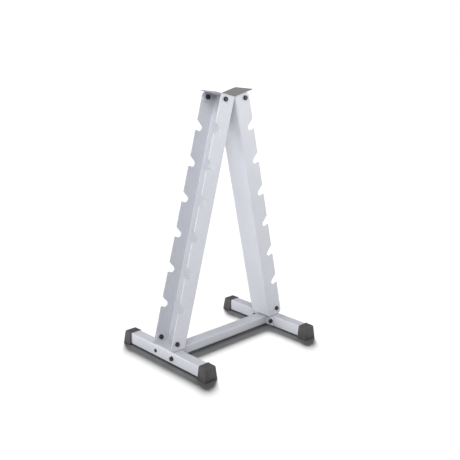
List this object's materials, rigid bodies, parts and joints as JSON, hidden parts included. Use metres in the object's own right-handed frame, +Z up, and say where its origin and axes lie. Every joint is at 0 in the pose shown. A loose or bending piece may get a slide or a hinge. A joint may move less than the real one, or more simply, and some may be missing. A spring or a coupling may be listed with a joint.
{
  "type": "dumbbell rack",
  "caption": "Free-standing two-sided A-frame rack: leaning notched steel channels on capped tubular feet hold pairs of dumbbells by their handles.",
  "frame": {"origin": "on the floor, under the middle of the rack", "axes": "+Z up, X along the crossmember from the left foot to the right foot, Y along the feet with the front at -Y"},
  "size_m": [0.684, 0.54, 1.1174],
  "materials": {
    "bolt_black": "black oxide steel, semi-matt",
    "bracket_paint": "silver-grey powder coat, satin, fine grain",
    "cap_rubber": "moulded dark grey rubber, matt",
    "crossmember_paint": "silver-grey powder coat, satin, fine grain",
    "foot_paint": "silver-grey powder coat, satin, fine grain",
    "nut_black": "black oxide steel, semi-matt",
    "top_bracket_paint": "silver-grey powder coat, satin, fine grain",
    "upright_paint": "silver-grey powder coat, satin, fine grain",
    "washer_black": "black oxide steel, semi-matt"
  },
  "bodies": {
    "root": {"left_foot_tube": "foot_paint", "right_foot_tube": "foot_paint", "front_left_foot_cap": "cap_rubber", "front_right_foot_cap": "cap_rubber", "rear_left_foot_cap": "cap_rubber", "rear_right_foot_cap": "cap_rubber", "crossmember_tube": "crossmember_paint", "left_crossmember_plate": "crossmember_paint", "right_crossmember_plate": "crossmember_paint", "left_foot_bracket": "bracket_paint", "right_foot_bracket": "bracket_paint", "left_upright": "upright_paint", "right_upright": "upright_paint", "top_bracket": "top_bracket_paint", "top_bolts": "bolt_black", "top_washers": "washer_black", "top_nuts": "nut_black", "lower_bolts": "bolt_black", "lower_washers": "washer_black", "lower_nuts": "nut_black", "front_foot_bolts": "bolt_black", "front_foot_washers": "washer_black", "front_foot_nuts": "nut_black", "rear_foot_bolts": "bolt_black", "rear_foot_washers": "washer_black", "rear_foot_nuts": "nut_black"}
  },
  "joints": []
}
